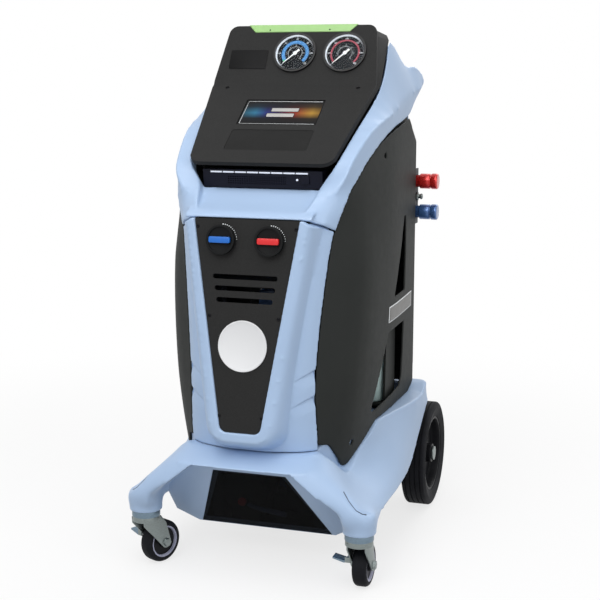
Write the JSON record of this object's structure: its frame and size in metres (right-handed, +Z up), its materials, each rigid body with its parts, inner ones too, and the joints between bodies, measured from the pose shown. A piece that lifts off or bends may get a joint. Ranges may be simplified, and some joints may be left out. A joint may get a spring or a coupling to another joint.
{
  "type": "refrigerant recovery machine",
  "caption": "Upright wheeled refrigerant recovery machine with a sloping gauge console, front valve panel, swivel casters and large rear wheels.",
  "frame": {"origin": "on the floor, under the middle of the machine's box", "axes": "+Z up, -Y is the front with the valve panel and the screen, +X is on the right hand of someone who looks at the front"},
  "size_m": [0.5044, 0.6951, 1.0317],
  "materials": {
    "body_blue": "satin moulded plastic",
    "panel_grey": "fine grained moulded plastic",
    "plate_grey": "textured powder coat",
    "lamp_green": "translucent tinted plastic",
    "screen": "clear over a dark screen",
    "black_plastic": "satin",
    "module_navy": "satin",
    "dial_white": "printed dial",
    "lens": "clear",
    "pointer_white": "painted",
    "light_white": "translucent",
    "badge_white": "gloss",
    "knob_blue": "satin",
    "knob_red": "satin",
    "brass": "machined",
    "smoked": "smoked transparent sheet",
    "zinc": "zinc plated",
    "tyre": "rubber",
    "hub_grey": "satin",
    "rim_black": "satin",
    "frame_steel": "powder coat",
    "bottle": "translucent",
    "tank_blue": "gloss paint",
    "coupler_red": "red anodised",
    "coupler_blue": "blue anodised"
  },
  "bodies": {
    "machine": {"base_moulding": "body_blue", "chassis_frame": "frame_steel", "front_cover": "body_blue", "console_shell": "body_blue", "side_panel_right": "panel_grey", "side_panel_left": "panel_grey", "rear_panel": "panel_grey", "front_panel": "plate_grey", "console_plate": "plate_grey", "status_lamp": "lamp_green", "display_screen": "screen", "window_frame": "body_blue", "key_cover": "black_plastic", "gauge_cases": "black_plastic", "gauge_dials": "dial_white", "gauge_lenses": "lens", "control_module": "module_navy", "module_lights": "light_white", "badge_disc": "badge_white", "valve_manifold": "brass", "pump_window": "smoked", "caster_mounts": "zinc", "rear_axle": "zinc", "handle_bar": "black_plastic", "coupler_bracket": "frame_steel", "coupler_low": "coupler_blue", "coupler_high": "coupler_red", "purge_port": "zinc", "bay_liners": "panel_grey", "oil_bottles": "bottle", "bottle_caps": "black_plastic", "refrigerant_tank": "tank_blue", "scale_platform": "zinc", "vacuum_pump": "frame_steel", "compressor": "frame_steel", "fan_motor": "frame_steel", "mains_inlet": "black_plastic"},
    "caster_right": {"caster_fork_right": "zinc"},
    "caster_left": {"caster_fork_left": "zinc"},
    "caster_wheel_right": {"caster_tyre_right": "tyre", "caster_hub_right": "hub_grey"},
    "caster_wheel_left": {"caster_tyre_left": "tyre", "caster_hub_left": "hub_grey"},
    "pedal_right": {"brake_pedal_right": "zinc"},
    "pedal_left": {"brake_pedal_left": "zinc"},
    "rear_wheel_right": {"rear_tyre_right": "tyre", "rear_rim_right": "rim_black"},
    "rear_wheel_left": {"rear_tyre_left": "tyre", "rear_rim_left": "rim_black"},
    "low_valve": {"valve_knob_low": "black_plastic", "knob_bar_low": "knob_blue"},
    "high_valve": {"valve_knob_high": "black_plastic", "knob_bar_high": "knob_red"},
    "low_pointer": {"gauge_pointer_low": "pointer_white"},
    "high_pointer": {"gauge_pointer_high": "pointer_white"},
    "start_button": {"power_button": "module_navy"},
    "fan": {"fan_rotor": "black_plastic"},
    "low_coupler_knob": {"coupler_knob_low": "coupler_blue"},
    "high_coupler_knob": {"coupler_knob_high": "coupler_red"},
    "rocker": {"mains_rocker": "knob_red"}
  },
  "joints": [
    {"name": "caster_swivel_right", "type": "hinge", "parent": "machine", "child": "caster_right", "pos_m": [0.212, -0.291, 0.104], "axis": [0, 0, 1], "continuous": true},
    {"name": "caster_swivel_left", "type": "hinge", "parent": "machine", "child": "caster_left", "pos_m": [-0.212, -0.291, 0.104], "axis": [0, 0, 1], "continuous": true},
    {"name": "caster_roll_right", "type": "hinge", "parent": "caster_right", "child": "caster_wheel_right", "pos_m": [0.212, -0.257, 0.041], "axis": [1, 0, 0], "continuous": true},
    {"name": "caster_roll_left", "type": "hinge", "parent": "caster_left", "child": "caster_wheel_left", "pos_m": [-0.19763, -0.26019, 0.041], "axis": [0.9063, -0.4226, 0], "continuous": true},
    {"name": "brake_right", "type": "hinge", "parent": "caster_right", "child": "pedal_right", "pos_m": [0.1892, -0.276, 0.058], "axis": [0, -1, 0], "range_deg": [0, 18]},
    {"name": "brake_left", "type": "hinge", "parent": "caster_left", "child": "pedal_left", "pos_m": [-0.22632, -0.26777, 0.058], "axis": [-0.4226, -0.9063, 0], "range_deg": [0, 18]},
    {"name": "rear_roll_right", "type": "hinge", "parent": "machine", "child": "rear_wheel_right", "pos_m": [0.214, 0.235, 0.113], "axis": [1, 0, 0], "continuous": true},
    {"name": "rear_roll_left", "type": "hinge", "parent": "machine", "child": "rear_wheel_left", "pos_m": [-0.214, 0.235, 0.113], "axis": [1, 0, 0], "continuous": true},
    {"name": "low_valve_turn", "type": "hinge", "parent": "machine", "child": "low_valve", "pos_m": [-0.046, -0.29943, 0.64126], "axis": [0, -0.9932, 0.1167], "range_deg": [0, 90]},
    {"name": "high_valve_turn", "type": "hinge", "parent": "machine", "child": "high_valve", "pos_m": [0.046, -0.29943, 0.64126], "axis": [0, -0.9932, 0.1167], "range_deg": [0, 90]},
    {"name": "low_gauge_needle", "type": "hinge", "parent": "machine", "child": "low_pointer", "pos_m": [-0.007, 0.00294, 0.97522], "axis": [0, 0.8746, -0.4848], "range_deg": [0, 270], "stiffness_Nm_per_rad": 0.01},
    {"name": "high_gauge_needle", "type": "hinge", "parent": "machine", "child": "high_pointer", "pos_m": [0.095, 0.00294, 0.97522], "axis": [0, 0.8746, -0.4848], "range_deg": [0, 270], "stiffness_Nm_per_rad": 0.01},
    {"name": "start_button_press", "type": "slide", "parent": "machine", "child": "start_button", "axis": [0, 1, 0], "range_m": [0, 0.0015], "stiffness_N_per_m": 400},
    {"name": "fan_spin", "type": "hinge", "parent": "machine", "child": "fan", "pos_m": [0, 0.1717, 0.679], "axis": [0, 1, 0], "continuous": true},
    {"name": "low_coupler_turn", "type": "hinge", "parent": "machine", "child": "low_coupler_knob", "pos_m": [0.2302, 0.223, 0.6465], "axis": [1, 0, 0], "range_deg": [0, 360]},
    {"name": "high_coupler_turn", "type": "hinge", "parent": "machine", "child": "high_coupler_knob", "pos_m": [0.2302, 0.223, 0.7115], "axis": [1, 0, 0], "range_deg": [0, 360]},
    {"name": "mains_rocker_tip", "type": "hinge", "parent": "machine", "child": "rocker", "pos_m": [-0.05, 0.195, 0.35], "axis": [1, 0, 0], "range_deg": [0, 16]}
  ]
}
